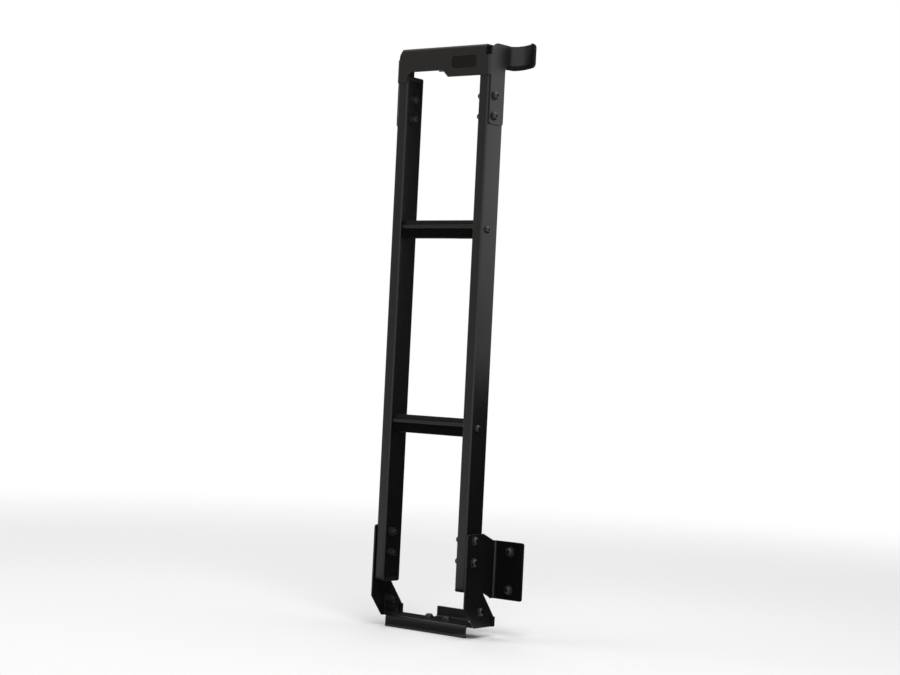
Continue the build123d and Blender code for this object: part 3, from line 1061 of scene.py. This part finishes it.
@dataclass
class Studio:
    """Pale floor, soft lamps and a white surround."""

    plan: Plan
    floor_radius: float = 30.0
    floor_sides: int = 96
    floor_colour: float = 0.82
    fade_start: float = 0.9
    fade_end: float = 3.2
    fill: float = 0.32
    aim_height: float = 0.5

    def build(self) -> None:
        """Sets up the surround, the floor and the lamps."""
        self._world()
        self._floor()
        target = Vector((self.plan.middle, self.plan.rear, self.plan.ground + self.aim_height))
        for lamp in LAMPS:
            lamp.build(target)

    def _background_rays(self, board: Board) -> Wire:
        """Picks the rays that see the white surround: camera, reflection and transmission.

        Args:
            board: the board of the surround or the floor.

        Returns:
            One for those rays, nought for the rest.
        """
        path = board.node("ShaderNodeLightPath")
        seen = board.maths("MAXIMUM", board.out(path, "Is Camera Ray"), board.out(path, "Is Glossy Ray"))
        return board.maths("MAXIMUM", seen, board.out(path, "Is Transmission Ray"))

    def _world(self) -> None:
        """Makes the surround white where it is seen and a soft even fill for the rest."""
        world = bpy.data.worlds.new("surround")
        world.use_nodes = True
        bpy.context.scene.world = world
        board = Board(world.node_tree)
        strength = self.fill + self._background_rays(board) * (1 - self.fill)
        glow = board.node("ShaderNodeBackground", None, {"Color": WHITE, "Strength": strength})
        board.node("ShaderNodeOutputWorld", None, {"Surface": board.out(glow)})

    def _floor(self) -> None:
        """Lays a round floor under the ladder."""
        mesh = bpy.data.meshes.new("floor")
        work = bmesh.new()
        bmesh.ops.create_circle(work, cap_ends=True, segments=self.floor_sides, radius=self.floor_radius)
        work.to_mesh(mesh)
        work.free()
        mesh.transform(Matrix.Translation((self.plan.middle, self.plan.rear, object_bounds()[0].z)))
        mesh.materials.append(self._floor_paint())
        floor = bpy.data.objects.new("floor", mesh)
        show(floor)
        floor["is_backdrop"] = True

    def _floor_paint(self) -> bpy.types.Material:
        """Builds a pale paint that fades into the surround away from the ladder.

        Returns:
            The floor's material.
        """
        made, board = new_material("floor_paint")
        place = board.out(board.node("ShaderNodeTexCoord"), "Object")
        middle = (self.plan.middle, self.plan.rear, 0.0)
        away = board.node("ShaderNodeVectorMath", {"operation": "DISTANCE"}, {0: place, 1: middle})
        fade = board.node(
            "ShaderNodeMapRange",
            {"interpolation_type": "SMOOTHSTEP"},
            {"Value": board.out(away, "Value"), "From Min": self.fade_start, "From Max": self.fade_end},
        )
        paint = board.node("ShaderNodeBsdfDiffuse", None, {"Color": (*grey(self.floor_colour), 1.0)})
        glow = board.node("ShaderNodeEmission", None, {"Color": WHITE, "Strength": 1.0})
        factor = board.out(fade) * self._background_rays(board)
        blend = {0: factor, 1: board.out(paint), 2: board.out(glow)}
        mixed = board.node("ShaderNodeMixShader", None, blend)
        board.node("ShaderNodeOutputMaterial", None, {"Surface": board.out(mixed)})
        return made


@dataclass
class Card:
    """A glowing studio card that only reflections see: a dark one paints shade and a pale one paints light
    into the reflections of the ladder's faces.
    """

    # Level of the black cards, which paint shade into reflections.
    BLACK: ClassVar[float] = 0.012
    HIDDEN_FROM: ClassVar[tuple[str, ...]] = (
        "camera", "diffuse", "transmission", "shadow", "volume_scatter",
    )

    name: str
    base: Vector
    top: Vector
    across: Vector
    width: float
    colour: Colour = grey(BLACK)

    def build(self) -> None:
        """Adds the card, spread to both sides of the line from its base to its top."""
        side = self.across.normalized() * (self.width / 2)
        corners = [self.base - side, self.base + side, self.top + side, self.top - side]
        mesh = bpy.data.meshes.new(self.name)
        mesh.from_pydata(corners, [], [(0, 1, 2, 3)])
        made, board = new_material(self.name)
        glow = board.node("ShaderNodeEmission", None, {"Color": (*self.colour, 1.0), "Strength": 1.0})
        board.node("ShaderNodeOutputMaterial", None, {"Surface": board.out(glow)})
        mesh.materials.append(made)
        card = bpy.data.objects.new(self.name, mesh)
        for ray in self.HIDDEN_FROM:
            setattr(card, "visible_" + ray, False)
        show(card)
        card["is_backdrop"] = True


@dataclass
class ReflectionCards:
    """The cards round the ladder that give its black faces their light and dark."""

    plan: Plan
    ahead: Vector = field(default_factory=lambda: Vector((0.55, 0.835, 0.0)))
    lean_start: float = 0.14
    lean_reach: float = 0.46
    lean_height: float = 0.52
    lean_width: float = 0.75
    lean_ends: tuple[float, float, float] = (0.85, 1.2, 1.5)
    lean_levels: tuple[float, float, float] = (Card.BLACK, 0.55, 0.78)
    left_distance: float = 1.7
    left_shift: float = 0.1
    left_base: float = 0.08
    left_top: float = 2.4
    left_width: float = 3.2
    left_colour: Colour = (0.46, 0.425, 0.385)
    near_reach: float = 0.45
    near_width: float = 0.9
    near_lift: float = 4 * MM
    opening_shift: float = 17.5 * MM
    opening_distance: float = 0.15
    opening_height: float = 1.1
    opening_width: float = 0.17
    far_shift: float = 0.22
    far_distance: float = 0.3
    far_height: float = 0.32
    far_width: float = 0.44
    hinge_gap: float = 1 * MM
    hinge_height: float = 99 * MM
    hinge_width: float = 55 * MM
    rung_upper_setback: float = 12.4 * MM
    rung_lower_setback: float = 7.4 * MM
    rung_overlap: float = 0.5 * MM
    rung_width: float = 154 * MM

    def build(self) -> None:
        """Sets up every card."""
        foot = Vector((self.plan.right_outer, self.plan.rear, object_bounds()[0].z))
        for card in (*self._leaning(foot), *self._standing(foot), *self._close()):
            card.build()

    @property
    def sideways(self) -> Vector:
        """Direction along the floor, across the camera's view."""
        return Vector((self.ahead.y, -self.ahead.x, 0.0))

    def _leaning(self, foot: Vector) -> list[Card]:
        """Cards that lean away on the right, black, grey and pale, so that faces there darken downwards.

        Args:
            foot: the right rail's outer rear corner, on the floor.

        Returns:
            The cards, from the floor up.
        """
        near = foot + self.ahead * self.lean_start
        lean = self.ahead * self.lean_reach + UP * self.lean_height
        names = ("low_card", "grey_card", "pale_card")
        steps = zip(names, (0.0, *self.lean_ends), self.lean_ends, self.lean_levels)
        return [
            Card(name, near + lean * start, near + lean * end, self.sideways, self.lean_width, grey(level))
            for name, start, end, level in steps
        ]

    def _standing(self, foot: Vector) -> list[Card]:
        """Cards that stand or lie round the ladder.

        The left card lights the rear faces. The near one lies on the floor before the ladder, and darkens
        what faces down. One behind the opening darkens the inner faces, and a far one the bottom plate.

        Args:
            foot: the right rail's outer rear corner, on the floor.

        Returns:
            The cards.
        """
        plan = self.plan
        left = foot - self.ahead * self.left_distance - ALONG * self.left_shift
        left_ends = (left + UP * self.left_base, left + UP * self.left_top)
        lifted = foot + UP * self.near_lift
        near_ends = (lifted - self.ahead * self.near_reach, lifted)
        opening = Vector((plan.middle + self.opening_shift, plan.rear + self.opening_distance, foot.z))
        far = Vector((plan.middle - self.far_shift, plan.rear + self.far_distance, foot.z))
        return [
            Card("left_card", *left_ends, self.sideways, self.left_width, self.left_colour),
            Card("near_floor_card", *near_ends, self.sideways, self.near_width),
            Card("opening_card", opening, opening + UP * self.opening_height, ALONG, self.opening_width),
            Card("far_card", far, far + UP * self.far_height, ALONG, self.far_width),
        ]

    def _close(self) -> list[Card]:
        """Small black cards just before the hinge bracket's plate and the rungs' tapered faces, which paint
        shade into those faces' reflections.

        The part's origin is in the middle of that plate, on its front face.

        Returns:
            The cards.
        """
        hinge = Vector((0.0, -self.plan.sheet - self.hinge_gap, 0.0))
        half = UP * (self.hinge_height / 2)
        # Black card just before the plate, painting shade into the plate's reflection.
        cards = [Card("hinge_shade_card", hinge - half, hinge + half, ALONG, self.hinge_width)]
        for level in RUNG_LEVELS:
            low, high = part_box(f"{level}_rung")
            x, y, z = (low + high) / 2
            upper = Vector((x, y - self.rung_upper_setback, z + self.rung_overlap))
            lower = Vector((x, y - self.rung_lower_setback, low.z - self.rung_overlap))
            # Black card along each rung's tapered face, painting shade into the reflection of its underside.
            cards.append(Card(f"{level}_rung_shade_card", upper, lower, ALONG, self.rung_width))
        return cards


@dataclass
class ViewPoint:
    """Camera at the photograph's place, aimed at the ladder and brought closer with a longer lens."""

    plan: Plan
    offset: Vector = field(default_factory=lambda: Vector((2.0604, -2.666, 0.4597)))
    plumb: Vector = field(default_factory=lambda: Vector((0.0, -0.0814, 0.9967)))
    aim_shift: tuple[float, float] = (0.02, 0.03)
    lens: float = 78.0
    sensor_width: float = 36.0

    def build(self) -> None:
        """Adds the camera and makes it the scene's own."""
        data = bpy.data.cameras.new("view")
        data.lens = self.lens
        data.sensor_width = self.sensor_width
        camera = bpy.data.objects.new("view", data)
        low, high = CAD_BOX
        shift_x, shift_y = self.aim_shift
        target = Vector((self.plan.middle + shift_x, self.plan.rear + shift_y, (low.z + high.z) / 2))
        location = Vector((self.plan.middle, self.plan.rear, self.plan.ground)) + self.offset
        back = (location - target).normalized()
        right = self.plumb.cross(back).normalized()
        turn = Matrix((right, back.cross(right), back)).transposed()
        camera.matrix_world = Matrix.Translation(location) @ turn.to_4x4()
        show(camera)
        bpy.context.scene.camera = camera


def main() -> None:
    """Builds the ladder's pieces in order, then the studio, its cards and the camera."""
    logging.basicConfig(level=logging.INFO, format="%(name)s %(message)s")
    bpy.context.scene.view_settings.view_transform = "Standard"
    plan = Plan()
    for assembly in (Rails(), Rungs(), TopBracket(), LowerWork(), Fasteners(plan)):
        LOG.info("building %s", type(assembly).__name__)
        assembly.build()
    for setting in (Studio(plan), ReflectionCards(plan), ViewPoint(plan)):
        setting.build()


if __name__ == "__main__":
    main()
